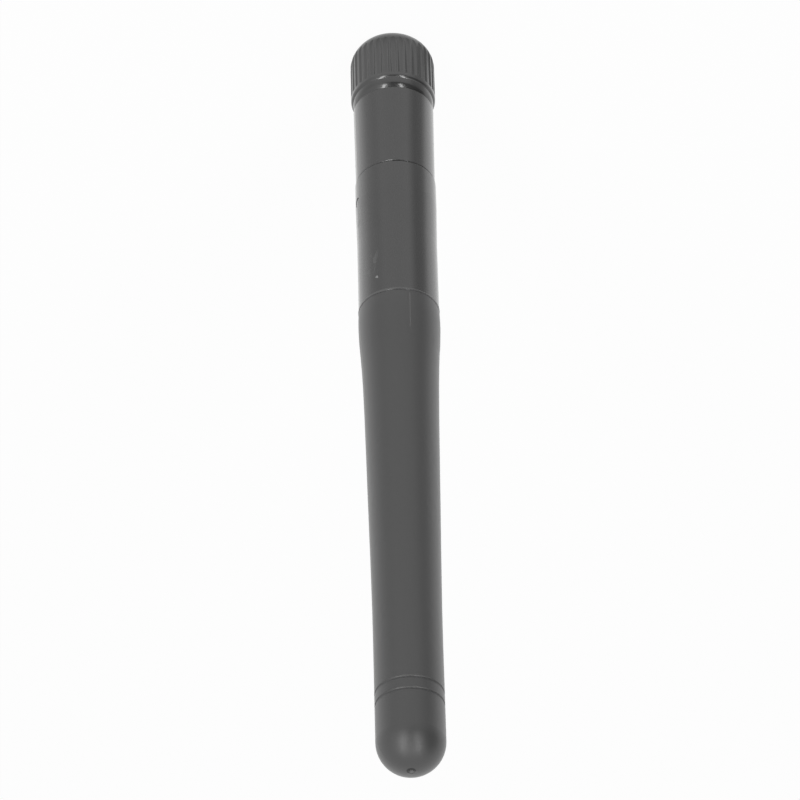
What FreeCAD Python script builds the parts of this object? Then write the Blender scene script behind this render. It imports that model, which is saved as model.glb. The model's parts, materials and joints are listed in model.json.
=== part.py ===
"""Folding stub antenna for a wireless network, standing on its coupling end.

The origin is on the flat end of the fluted collar, +Z runs along the antenna to the domed tip.
The hinge pins lie along X, and the antenna folds towards +Y. Sizes are in millimetres.
Heights are distances from the collar's flat end, and the pieces are listed from there to the tip.
"""
import FreeCAD, Part
import math
import os

Vec = FreeCAD.Vector

# Clearances
seat_clearance = 0.02          # between a piece and the bore that holds it
running_clearance = 0.05       # between pieces that turn against each other
face_play = 0.15               # end play between turning faces

# Coupling nut
nut_recess = 0.2               # the nut's face lies this far inside the collar's mouth
nut_boss_radius = 3.9
nut_boss_length = 0.8
nut_across_flats = 8.0
nut_hex_length = 6.0
thread_radius = 3.175          # nominal radius of the coupling thread
thread_length = 3.0
mouth_chamfer = 0.25
thread_relief = 0.175          # how much wider the bore is behind the thread

# Fluted collar
collar_radius = 5.33
rim_rounding = 3.5             # far rim, at the mouth
rim_height = 2.4
step_rounding = 0.52           # edge behind the flutes, where the collar steps in
step_turn = 60.0               # how far that edge turns in, in degrees
crown_foot = 0.05              # plain band from the step to the crown
crown_rounding = 1.7           # shoulder that curves in under the barrel
crown_height = 1.2
collar_rear_lip = 2.5
collar_rear_gap = 0.15         # round the barrel's spigot
flute_count = 36
flute_cutter_radius = 0.45
flute_depth = 0.18
flute_runout = 1.4             # how far the flutes run out on the rounded rim
flute_land = 0.3               # plain band between the flutes' ends and the step

# Connector body
contact_setback = 0.15         # from the end of the thread to the body's face
ring_radius = 2.275
ring_length = 1.8
neck_radius = 2.75
flange_radius = 3.6
flange_thickness = 0.6
seat_radius = 3.0
seat_length = 4.25
tail_radius = 1.05
tail_length = 4.0
insulator_radius = 2.0
rear_wall = 1.0

# Snap ring and its grooves
ring_offset = 0.55             # from the body's shoulder
ring_thickness = 0.35
ring_inner_depth = 0.28        # how far the ring sits in the neck
ring_outer_depth = 0.25        # how far it stands out of the neck
ring_opening = 1.4

# Sealing ring
seal_width = 0.75
seal_thickness = 0.5

# Centre contact
contact_radius = 0.64
socket_radius = 0.47
socket_depth = 2.5
socket_slot = 0.16
socket_slot_length = 2.0
cup_depth = 1.2
contact_end_gap = 0.5          # from the contact's cup to the body's rear wall

# Coax cable
cable_radius = 0.685
dielectric_radius = 0.42
conductor_radius = 0.15
cable_bore = 0.8
ferrule_wall = 0.4
ferrule_grip = 1.4             # length crimped on the cable's jacket
ferrule_gap = 0.2
cable_strip = 0.3              # from the tail's end to the jacket

# Base barrel
collar_gap = 0.25              # open groove between the collar and the barrel
spigot_radius = 4.0
barrel_front_radius = 5.04
barrel_end_radius = 4.92
barrel_front_rounding = 0.12
barrel_length = 12.25
ferrule_room_radius = 2.0
ferrule_room_length = 6.5
edge_rounding = 0.15

# Hinge
pin_rise = 3.8                 # from the barrel's end to the pins
tongue_play = 0.25             # from the rounded tongue to the barrel's end height
fork_play = 0.15               # round the tongue in the fork
stop_play = 0.05               # between the barrel's end and the fork at 90 degrees
slot_half_width = 3.3
washer_room = 0.35             # on each side of the tongue
washer_play = 0.025
washer_radius = 1.9
channel_half_width = 0.95
channel_drop = 2.6             # how far the cable's channel reaches below the pins
ear_play = 0.08                # from the ears' round ends to the barrel's end height
pin_radius = 0.6
pin_seat_clearance = 0.01      # in the ears
pin_running_clearance = 0.04   # in the tongue
pin_inner_gap = 0.25           # from the channel's wall to the pin's inner end
pin_recess = 0.4               # from the housing's surface to the pin's outer end
seam_gap = 0.12

# Hinge housing
housing_hinge_radius = 5.025
housing_neck_radius = 4.93
housing_straight = 4.0
housing_taper = 6.0
housing_length = 20.68
housing_ceiling = 1.5
housing_bore = 2.9
housing_spigot_radius = 3.95
housing_spigot_length = 9.0
spigot_chamfer = 0.3

# Radome
radome_length = 67.14
radome_lip_radius = 4.95
radome_lip_rounding = 0.12
radome_swell_radius = 4.995
radome_swell_start = 1.2       # from the lip to the fullest place
radome_swell_end = 2.6
radome_tip_radius = 4.06
radome_straight = 10.65        # untapered stretch below the dome
radome_bore_root = 3.35
radome_bore_tip = 3.05
radome_step_gap = 0.2          # from the spacer's flange to the step in the radome's bore
taper_curve = ((0.12, 0.315), (0.217, 0.478), (0.525, 0.739), (0.823, 0.967))  # shares of length and fall
groove_heights = (10.45, 8.85)  # from the tip's end
groove_width = 0.4
groove_depth = 0.12
dimple_radius = 0.45
dimple_depth = 0.14

# Dipole
spacer_grip = 3.0
spacer_flange = 0.5
spacer_flange_radius = 3.85
spacer_lip = 0.8
spacer_lip_bore = 1.2
sleeve_radius = 2.0
sleeve_wall = 0.25
sleeve_end_wall = 0.4
sleeve_length = 26.0
bead_length = 2.5
rod_radius = 0.8
rod_seat = 0.7
rod_solder_depth = 1.8
shrink_wall = 0.2
shrink_overlap = 4.0
cap_length = 3.5
cap_end_wall = 1.2
cap_clearance = 0.06
cap_below_dome = 1.6

# Heights along Z, worked out from the sizes above
nut_front = nut_recess
hex_start = nut_front + nut_boss_length
hex_end = hex_start + nut_hex_length
thread_start = nut_front + mouth_chamfer
thread_end = thread_start + thread_length
body_face = thread_end + contact_setback
body_shoulder = body_face + ring_length
snap_start = body_shoulder + ring_offset
snap_end = snap_start + ring_thickness
flange_start = hex_end + face_play
spigot_front = flange_start + flange_thickness
collar_length = hex_end + collar_rear_lip
crown_start = collar_length - crown_height
step_start = crown_start - crown_foot - step_rounding * math.sin(math.radians(step_turn))
barrel_front = collar_length + collar_gap
seat_end = spigot_front + seat_length
insulator_end = seat_end - rear_wall
contact_end = insulator_end - contact_end_gap
tail_end = seat_end + tail_length
jacket_start = tail_end + cable_strip
ferrule_start = seat_end + ferrule_gap
ferrule_end = jacket_start + ferrule_grip
ferrule_room_end = seat_end + ferrule_room_length
seam = barrel_front + barrel_length
pin_height = seam + pin_rise
tongue_radius = pin_rise - tongue_play
fork_radius = tongue_radius + fork_play
housing_start = seam + seam_gap
housing_cavity_floor = pin_height + fork_radius + housing_ceiling
radome_start = seam + housing_length + seam_gap
housing_end = radome_start + housing_spigot_length
spacer_top = housing_end + spacer_flange
radome_step = spacer_top + radome_step_gap
radome_end = radome_start + radome_length
dome_centre = radome_end - radome_tip_radius
sleeve_start = housing_end - spacer_grip
sleeve_end = sleeve_start + sleeve_length
bead_end = sleeve_end + bead_length
rod_start = bead_end - rod_seat
cap_end = dome_centre - cap_below_dome
rod_end = cap_end - cap_end_wall

along_x = Vec(1, 0, 0)
along_y = Vec(0, 1, 0)
along_z = Vec(0, 0, 1)
beyond = 20.0                  # longer than any cut needs


class Outline:
    """Half section in the XZ plane, drawn edge by edge and turned about Z."""

    def __init__(self, radius, height):
        self.first = self.here = Vec(radius, 0, height)
        self.edges = []

    def line(self, radius, height):
        """Draws a straight edge to a point."""
        there = Vec(radius, 0, height)
        self.edges.append(Part.LineSegment(self.here, there).toShape())
        self.here = there
        return self

    def arc(self, via, to):
        """Draws an arc through a point to another."""
        middle, there = Vec(via[0], 0, via[1]), Vec(to[0], 0, to[1])
        self.edges.append(Part.Arc(self.here, middle, there).toShape())
        self.here = there
        return self

    def round_corner(self, centre, radius, start, end):
        """Draws an arc about a centre, between two angles in degrees from +X towards +Z."""
        spots = []
        for angle in ((start + end) / 2, end):
            turn = math.radians(angle)
            spots.append((centre[0] + radius * math.cos(turn), centre[1] + radius * math.sin(turn)))
        return self.arc(*spots)

    def curve(self, points):
        """Draws a smooth curve through points."""
        spots = [self.here] + [Vec(radius, 0, height) for radius, height in points]
        spline = Part.BSplineCurve()
        spline.interpolate(Points=spots)
        self.edges.append(spline.toShape())
        self.here = spots[-1]
        return self

    def turned(self):
        """Closes the outline and turns it into a solid."""
        if self.here.distanceToPoint(self.first) > 1e-7:
            self.line(self.first.x, self.first.z)
        face = Part.Face(Part.Wire(self.edges))
        return face.revolve(Vec(0, 0, 0), along_z, 360)


def ring(outer, inner, start, end):
    """Plain ring about Z between two heights."""
    return Outline(inner, start).line(outer, start).line(outer, end).line(inner, end).turned()


def rod(radius, start, end):
    """Plain rod about Z between two heights."""
    return Part.makeCylinder(radius, end - start, Vec(0, 0, start), along_z)


def pin_line(radius, start, end):
    """Rod along the hinge axis between two places in X."""
    return Part.makeCylinder(radius, end - start, Vec(start, 0, pin_height), along_x)


def block(x, y, z):
    """Box between pairs of limits along the three axes."""
    return Part.makeBox(x[1] - x[0], y[1] - y[0], z[1] - z[0], Vec(x[0], y[0], z[0]))


def rounded_fall(rounding, height):
    """Fall in radius of an arc that leaves a cylinder smoothly and runs on for a height."""
    return rounding - math.sqrt(rounding ** 2 - height ** 2)


def hexagon(across_flats, start, end):
    """Hexagonal bar about Z."""
    corner = across_flats / math.sqrt(3)
    corners = [Vec(corner * math.cos(math.radians(60 * k)), corner * math.sin(math.radians(60 * k)), start)
               for k in range(7)]
    return Part.Face(Part.makePolygon(corners)).extrude(Vec(0, 0, end - start))


def grip_collar():
    """Moulded collar round the nut: rounded far rim, flutes, a step and a rounded crown."""
    rim_face = collar_radius - rounded_fall(rim_rounding, rim_height)
    rim_middle = collar_radius - rounded_fall(rim_rounding, rim_height / 2)
    rear_bore = spigot_radius + collar_rear_gap
    step_centre = (collar_radius - step_rounding, step_start)
    step_radius = step_centre[0] + step_rounding * math.cos(math.radians(step_turn))
    crown_centre = (step_radius - crown_rounding, crown_start)
    crown_turn = math.degrees(math.asin(crown_height / crown_rounding))
    body = (Outline(nut_boss_radius + seat_clearance, 0)
            .line(rim_face, 0)
            .arc((rim_middle, rim_height / 2), (collar_radius, rim_height))
            .line(collar_radius, step_start)
            .round_corner(step_centre, step_rounding, 0, step_turn)
            .line(step_radius, crown_start)
            .round_corner(crown_centre, crown_rounding, 0, crown_turn)
            .line(rear_bore, collar_length)
            .line(rear_bore, hex_end)
            .line(nut_boss_radius + seat_clearance, hex_end)
            .turned())
    body = body.cut(hexagon(nut_across_flats, hex_start, hex_end))
    flute_start = rim_height - flute_runout
    flute_end = step_start - flute_land
    reach = collar_radius - flute_depth + flute_cutter_radius
    cutters = []
    for k in range(flute_count):
        turn = 2 * math.pi * (k + 0.5) / flute_count
        foot = Vec(reach * math.cos(turn), reach * math.sin(turn), flute_start)
        cutters.append(Part.makeCylinder(flute_cutter_radius, flute_end - flute_start, foot, along_z))
    return body.cut(cutters)


def coupling_nut():
    """Hexagonal nut with its thread's bore, relief and the groove of the snap ring."""
    body = hexagon(nut_across_flats, hex_start, hex_end).fuse(rod(nut_boss_radius, nut_front, hex_start))
    relief_radius = thread_radius + thread_relief
    lip_start = body_shoulder + running_clearance
    lip_radius = neck_radius + running_clearance
    groove_radius = neck_radius + ring_outer_depth + running_clearance
    bore = (Outline(0, nut_front)
            .line(thread_radius + mouth_chamfer, nut_front)
            .line(thread_radius, thread_start)
            .line(thread_radius, thread_end)
            .line(relief_radius, thread_end)
            .line(relief_radius, lip_start)
            .line(lip_radius, lip_start)
            .line(lip_radius, snap_start - running_clearance)
            .line(groove_radius, snap_start - running_clearance)
            .line(groove_radius, snap_end + running_clearance)
            .line(lip_radius, snap_end + running_clearance)
            .line(lip_radius, hex_end)
            .line(0, hex_end)
            .turned())
    return body.cut(bore).removeSplitter()


def snap_ring():
    """Split spring ring in the neck's groove."""
    whole = ring(neck_radius + ring_outer_depth, neck_radius - ring_inner_depth, snap_start, snap_end)
    half = ring_opening / 2
    return whole.cut(block((-half, half), (0, beyond), (snap_start, snap_end)))


def connector_body():
    """Turned outer conductor: front ring, neck, flange, press seat and crimp tail."""
    groove_radius = neck_radius - ring_inner_depth - seat_clearance
    inner = insulator_radius + seat_clearance
    return (Outline(inner, body_face)
            .line(ring_radius, body_face)
            .line(ring_radius, body_shoulder)
            .line(neck_radius, body_shoulder)
            .line(neck_radius, snap_start - seat_clearance)
            .line(groove_radius, snap_start - seat_clearance)
            .line(groove_radius, snap_end + seat_clearance)
            .line(neck_radius, snap_end + seat_clearance)
            .line(neck_radius, flange_start)
            .line(flange_radius, flange_start)
            .line(flange_radius, spigot_front)
            .line(seat_radius, spigot_front)
            .line(seat_radius, seat_end)
            .line(tail_radius, seat_end)
            .line(tail_radius, tail_end)
            .line(dielectric_radius + seat_clearance, tail_end)
            .line(dielectric_radius + seat_clearance, insulator_end)
            .line(inner, insulator_end)
            .turned())


def sealing_ring():
    """Soft ring on the body's shoulder, round the front ring."""
    inner = ring_radius + seat_clearance
    return ring(inner + seal_width, inner, body_shoulder - seal_thickness, body_shoulder)


def contact_insulator():
    """Dielectric bead that carries the centre contact."""
    return ring(insulator_radius, contact_radius + seat_clearance, body_face, insulator_end)


def centre_contact():
    """Slotted socket contact with a solder cup for the cable's conductor."""
    cup_start = contact_end - cup_depth
    body = (Outline(socket_radius, body_face)
            .line(contact_radius, body_face)
            .line(contact_radius, contact_end)
            .line(conductor_radius + seat_clearance, contact_end)
            .line(conductor_radius + seat_clearance, cup_start)
            .line(0, cup_start)
            .line(0, body_face + socket_depth)
            .line(socket_radius, body_face + socket_depth)
            .turned())
    half = socket_slot / 2
    depth = (body_face, body_face + socket_slot_length)
    slots = [block((-beyond, beyond), (-half, half), depth), block((-half, half), (-beyond, beyond), depth)]
    return body.cut(slots)


def crimp_ferrule():
    """Sleeve crimped on the body's tail and on the cable's jacket."""
    inner = tail_radius + seat_clearance
    grip = cable_radius + seat_clearance
    return (Outline(inner, ferrule_start)
            .line(inner + ferrule_wall, ferrule_start)
            .line(inner + ferrule_wall, tail_end)
            .line(grip + ferrule_wall, jacket_start)
            .line(grip + ferrule_wall, ferrule_end)
            .line(grip, ferrule_end)
            .line(grip, jacket_start)
            .line(inner, tail_end)
            .turned())


def coax_cable():
    """Thin cable from the contact's cup to the dipole's feed point, stripped at both ends."""
    conductor_start = contact_end - cup_depth + seat_clearance
    return (Outline(0, conductor_start)
            .line(conductor_radius, conductor_start)
            .line(conductor_radius, insulator_end)
            .line(dielectric_radius, insulator_end)
            .line(dielectric_radius, jacket_start)
            .line(cable_radius, jacket_start)
            .line(cable_radius, sleeve_end)
            .line(dielectric_radius, sleeve_end)
            .line(dielectric_radius, rod_start)
            .line(conductor_radius, rod_start)
            .line(conductor_radius, rod_start + rod_solder_depth - seat_clearance)
            .line(0, rod_start + rod_solder_depth - seat_clearance)
            .turned())


def base_barrel():
    """Barrel of the base with the spigot under the collar and the hinge's tongue."""
    front_centre = (barrel_front_radius - barrel_front_rounding, barrel_front + barrel_front_rounding)
    edge_centre = (barrel_end_radius - edge_rounding, seam - edge_rounding)
    body = (Outline(seat_radius + seat_clearance, spigot_front)
            .line(spigot_radius, spigot_front)
            .line(spigot_radius, barrel_front)
            .line(front_centre[0], barrel_front)
            .round_corner(front_centre, barrel_front_rounding, -90, 0)
            .line(barrel_end_radius, edge_centre[1])
            .round_corner(edge_centre, edge_rounding, 0, 90)
            .line(cable_bore, seam)
            .line(cable_bore, ferrule_room_end)
            .line(ferrule_room_radius, ferrule_room_end)
            .line(ferrule_room_radius, seat_end)
            .line(seat_radius + seat_clearance, seat_end)
            .turned())
    half = slot_half_width - washer_room
    foot = block((-half, half), (-tongue_radius, tongue_radius), (seam - edge_rounding, pin_height))
    tongue = foot.fuse(pin_line(tongue_radius, -half, half))
    channel_foot = pin_height - channel_drop
    tongue = tongue.cut([
        rod(cable_bore, seam - edge_rounding, pin_height),
        rod(channel_half_width, channel_foot, pin_height + beyond),
        block((-channel_half_width, channel_half_width), (0, beyond), (channel_foot, pin_height + beyond)),
        pin_line(pin_radius + pin_running_clearance, -beyond, beyond)])
    return body.fuse(tongue).removeSplitter()


def hinge_housing():
    """Fork of the hinge, closed at the back and open towards the fold, with the radome's spigot."""
    edge_centre = (housing_hinge_radius - edge_rounding, housing_start + edge_rounding)
    taper_start = housing_start + housing_straight
    body = (Outline(0, housing_start)
            .line(edge_centre[0], housing_start)
            .round_corner(edge_centre, edge_rounding, -90, 0)
            .line(housing_hinge_radius, taper_start)
            .line(housing_neck_radius, taper_start + housing_taper)
            .line(housing_neck_radius, radome_start)
            .line(housing_spigot_radius, radome_start)
            .line(housing_spigot_radius, housing_end - spigot_chamfer)
            .line(housing_spigot_radius - spigot_chamfer, housing_end)
            .line(housing_bore, housing_end)
            .line(housing_bore, housing_cavity_floor)
            .line(0, housing_cavity_floor)
            .turned())
    slot = (-slot_half_width, slot_half_width)
    below = housing_start - beyond
    ear_corner = block((-beyond, beyond), (0, beyond), (below, pin_height)).cut(
        pin_line(pin_rise - ear_play, -beyond, beyond))
    arch_radius = barrel_end_radius + fork_play
    arch = Part.makeCylinder(arch_radius, beyond, Vec(0, pin_rise - stop_play, pin_height), along_y)
    return body.cut([
        pin_line(fork_radius, *slot),
        block(slot, (-fork_radius, beyond), (below, pin_height)),
        block(slot, (0, beyond), (pin_height, pin_height + fork_radius)),
        ear_corner,
        arch,
        pin_line(pin_radius + pin_seat_clearance, -beyond, beyond),
        rod(channel_half_width, pin_height, housing_end)])


def pivot_pin(side):
    """Short pin in one ear, reaching into the tongue."""
    inner = channel_half_width + pin_inner_gap
    outer = housing_hinge_radius - pin_recess
    return pin_line(pin_radius, *sorted((side * inner, side * outer)))


def friction_washer(side):
    """Washer between the tongue and one ear."""
    inner = slot_half_width - washer_room + washer_play
    outer = slot_half_width - washer_play
    limits = sorted((side * inner, side * outer))
    return pin_line(washer_radius, *limits).cut(pin_line(pin_radius + seat_clearance, -beyond, beyond))


def radome():
    """Matte sleeve: soft lip, slight swelling, long taper, two fine grooves and a domed tip."""
    lip = (radome_lip_radius - radome_lip_rounding, radome_start + radome_lip_rounding)
    swell_start = radome_start + radome_swell_start
    swell_end = radome_start + radome_swell_end
    taper_end = dome_centre - radome_straight
    fall = radome_swell_radius - radome_tip_radius
    taper = [(radome_swell_radius - fall * drop, swell_end + (taper_end - swell_end) * along)
             for along, drop in taper_curve]
    outline = (Outline(housing_spigot_radius + seat_clearance, radome_start)
               .line(lip[0], radome_start)
               .round_corner(lip, radome_lip_rounding, -90, 0)
               .curve([(radome_swell_radius, swell_start), (radome_swell_radius, swell_end)]
                      + taper + [(radome_tip_radius, taper_end)]))
    for height in groove_heights:
        middle = radome_end - height
        outline.line(radome_tip_radius, middle - groove_width / 2)
        bottom = (radome_tip_radius - groove_depth, middle)
        outline.arc(bottom, (radome_tip_radius, middle + groove_width / 2))
    outline.line(radome_tip_radius, dome_centre)
    outline.round_corner((0, dome_centre), radome_tip_radius, 0, 90)
    outline.line(0, dome_centre + radome_bore_tip)
    outline.round_corner((0, dome_centre), radome_bore_tip, 90, 0)
    outline.line(radome_bore_root, radome_step)
    outline.line(housing_spigot_radius + seat_clearance, radome_step)
    ball_radius = (dimple_radius ** 2 + dimple_depth ** 2) / (2 * dimple_depth)
    ball_centre = Vec(0, 0, radome_end - dimple_depth + ball_radius)
    return outline.turned().cut(Part.makeSphere(ball_radius, ball_centre))


def lower_spacer():
    """Flanged bush in the housing's neck, with a lip that the brass sleeve stands on."""
    bush = housing_bore - seat_clearance
    return (Outline(spacer_lip_bore, sleeve_start - spacer_lip)
            .line(bush, sleeve_start - spacer_lip)
            .line(bush, housing_end)
            .line(spacer_flange_radius, housing_end)
            .line(spacer_flange_radius, spacer_top)
            .line(sleeve_radius + seat_clearance, spacer_top)
            .line(sleeve_radius + seat_clearance, sleeve_start)
            .line(spacer_lip_bore, sleeve_start)
            .turned())


def dipole_sleeve():
    """Brass tube with a closed end, soldered to the cable's braid: the dipole's lower arm."""
    inner = sleeve_radius - sleeve_wall
    hole = cable_radius + seat_clearance
    return (Outline(inner, sleeve_start)
            .line(sleeve_radius, sleeve_start)
            .line(sleeve_radius, sleeve_end)
            .line(hole, sleeve_end)
            .line(hole, sleeve_end - sleeve_end_wall)
            .line(inner, sleeve_end - sleeve_end_wall)
            .turned())


def feed_insulator():
    """Bead between the dipole's two arms."""
    hole = dielectric_radius + seat_clearance
    seat = rod_radius + seat_clearance
    return (Outline(hole, sleeve_end)
            .line(sleeve_radius, sleeve_end)
            .line(sleeve_radius, bead_end)
            .line(seat, bead_end)
            .line(seat, rod_start)
            .line(hole, rod_start)
            .turned())


def heat_shrink():
    """Shrunk tube over the end of the brass sleeve and the bead."""
    inner = sleeve_radius + seat_clearance
    return ring(inner + shrink_wall, inner, sleeve_end - shrink_overlap, bead_end)


def radiator_rod():
    """Upper arm of the dipole, soldered to the cable's conductor."""
    hole = conductor_radius + seat_clearance
    return (Outline(hole, rod_start)
            .line(rod_radius, rod_start)
            .line(rod_radius, rod_end)
            .line(0, rod_end)
            .line(0, rod_start + rod_solder_depth)
            .line(hole, rod_start + rod_solder_depth)
            .turned())


def upper_spacer():
    """Cap on the rod's end that centres it in the radome."""
    start = cap_end - cap_length

    def bore_at(height):
        share = (height - radome_step) / (dome_centre - radome_step)
        return radome_bore_root + (radome_bore_tip - radome_bore_root) * share - cap_clearance

    return (Outline(rod_radius + seat_clearance, start)
            .line(bore_at(start), start)
            .line(bore_at(cap_end), cap_end)
            .line(0, cap_end)
            .line(0, rod_end)
            .line(rod_radius + seat_clearance, rod_end)
            .turned())


def main():
    """Builds every piece and writes one file for each."""
    pieces = {
        "grip_collar": grip_collar(),
        "coupling_nut": coupling_nut(),
        "snap_ring": snap_ring(),
        "connector_body": connector_body(),
        "sealing_ring": sealing_ring(),
        "contact_insulator": contact_insulator(),
        "centre_contact": centre_contact(),
        "crimp_ferrule": crimp_ferrule(),
        "coax_cable": coax_cable(),
        "base_barrel": base_barrel(),
        "hinge_housing": hinge_housing(),
        "pivot_pin_left": pivot_pin(1),
        "pivot_pin_right": pivot_pin(-1),
        "friction_washer_left": friction_washer(1),
        "friction_washer_right": friction_washer(-1),
        "radome": radome(),
        "lower_spacer": lower_spacer(),
        "dipole_sleeve": dipole_sleeve(),
        "feed_insulator": feed_insulator(),
        "heat_shrink": heat_shrink(),
        "radiator_rod": radiator_rod(),
        "upper_spacer": upper_spacer(),
    }
    os.makedirs("parts", exist_ok=True)
    for name, shape in pieces.items():
        shape.exportStep(os.path.join("parts", name + ".step"))


main()
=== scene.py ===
"""Looks of the folding stub antenna: finishes, fine pieces, studio and camera.

Sizes are in metres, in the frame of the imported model: +Z runs from the coupling's flat end to the domed
tip, X runs along the hinge pins, and the antenna folds towards +Y.
"""

import json
import logging
import math
from collections.abc import Callable, Mapping, Sequence
from dataclasses import dataclass
from enum import Enum
from typing import Any

import bmesh
import bpy
from mathutils import Matrix, Quaternion, Vector


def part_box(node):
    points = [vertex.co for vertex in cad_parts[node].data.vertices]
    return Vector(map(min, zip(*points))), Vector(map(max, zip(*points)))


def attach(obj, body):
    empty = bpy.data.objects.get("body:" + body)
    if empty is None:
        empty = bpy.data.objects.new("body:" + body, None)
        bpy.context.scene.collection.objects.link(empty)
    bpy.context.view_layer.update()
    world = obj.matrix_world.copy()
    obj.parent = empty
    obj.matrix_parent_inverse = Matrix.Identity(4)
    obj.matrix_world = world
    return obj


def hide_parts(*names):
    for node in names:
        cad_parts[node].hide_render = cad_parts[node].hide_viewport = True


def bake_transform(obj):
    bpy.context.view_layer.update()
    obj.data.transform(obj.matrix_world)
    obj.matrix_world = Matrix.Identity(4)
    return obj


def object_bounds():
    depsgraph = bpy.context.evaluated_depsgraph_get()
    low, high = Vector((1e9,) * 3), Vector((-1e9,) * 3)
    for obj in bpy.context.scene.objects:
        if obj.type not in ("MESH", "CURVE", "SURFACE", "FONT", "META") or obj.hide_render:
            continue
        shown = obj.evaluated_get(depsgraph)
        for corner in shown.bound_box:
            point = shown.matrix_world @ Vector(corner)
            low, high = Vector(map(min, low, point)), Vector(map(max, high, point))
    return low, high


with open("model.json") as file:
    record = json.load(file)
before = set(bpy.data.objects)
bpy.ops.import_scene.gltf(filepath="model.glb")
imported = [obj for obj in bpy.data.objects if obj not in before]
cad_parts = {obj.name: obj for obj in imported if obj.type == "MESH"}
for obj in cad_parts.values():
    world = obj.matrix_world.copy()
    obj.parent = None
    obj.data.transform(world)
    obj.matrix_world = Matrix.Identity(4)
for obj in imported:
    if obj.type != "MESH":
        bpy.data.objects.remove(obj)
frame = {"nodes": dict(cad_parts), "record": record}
cad_low, cad_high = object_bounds()

log = logging.getLogger("stub_antenna")

MM = 0.001
INCH = 25.4 * MM
Colour = tuple[float, float, float]
Place = tuple[float, float, float]
Span = tuple[float, float]
Profile = tuple[tuple[float, float], ...]
Number = "Signal | float"


class Body(Enum):
    """The rigid bodies that pieces ride on."""

    BASE = "base"
    COUPLING = "coupling"
    UPPER = "upper"


class Layer(Enum):
    """The layers of the coaxial lead, in the order of its finishes."""

    JACKET = 0
    DIELECTRIC = 1
    CONDUCTOR = 2


class Signal:
    """One output of a shader node, with the arithmetic that the finishes are written in.

    Args:
        graph: The node tree that the output belongs to.
        node: The node that makes it.
        output: Which of the node's outputs it is.
    """

    def __init__(self, graph: "Graph", node: bpy.types.Node, output: int | str = 0) -> None:
        """Keeps the node and which of its outputs is meant."""
        self.graph = graph
        self.node = node
        self.output = output

    @property
    def socket(self) -> bpy.types.NodeSocket:
        """The output socket itself."""
        return self.node.outputs[self.output]

    def _math(self, operation: str, first: Number, second: Number) -> "Signal":
        """Adds one Math node on two values."""
        return self.graph.add("ShaderNodeMath", {"operation": operation}, {0: first, 1: second})

    def __add__(self, other: Number) -> "Signal":
        """Sum of two values."""
        return self._math("ADD", self, other)

    __radd__ = __add__

    def __mul__(self, other: Number) -> "Signal":
        """Product of two values."""
        return self._math("MULTIPLY", self, other)

    __rmul__ = __mul__

    def __sub__(self, other: Number) -> "Signal":
        """Difference of two values."""
        return self._math("SUBTRACT", self, other)

    def __rsub__(self, other: Number) -> "Signal":
        """Difference of two values, the other way round."""
        return self._math("SUBTRACT", other, self)

    def __abs__(self) -> "Signal":
        """Size of a value without its sign."""
        return self._math("ABSOLUTE", self, 0.0)

    def higher(self, other: Number) -> "Signal":
        """The larger of two values."""
        return self._math("MAXIMUM", self, other)

    def step(self, start: float, end: float) -> "Signal":
        """Smooth step from 0 at one value to 1 at another.

        Args:
            start: Where the step is 0.
            end: Where the step is 1. It may lie below start.

        Returns:
            The step, between 0 and 1.
        """
        low, high = min(start, end), max(start, end)
        stepped = self.graph.add("ShaderNodeMapRange", {"interpolation_type": "SMOOTHSTEP"},
                                 {"Value": self, "From Min": low, "From Max": high})
        return stepped if start < end else 1.0 - stepped


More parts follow.
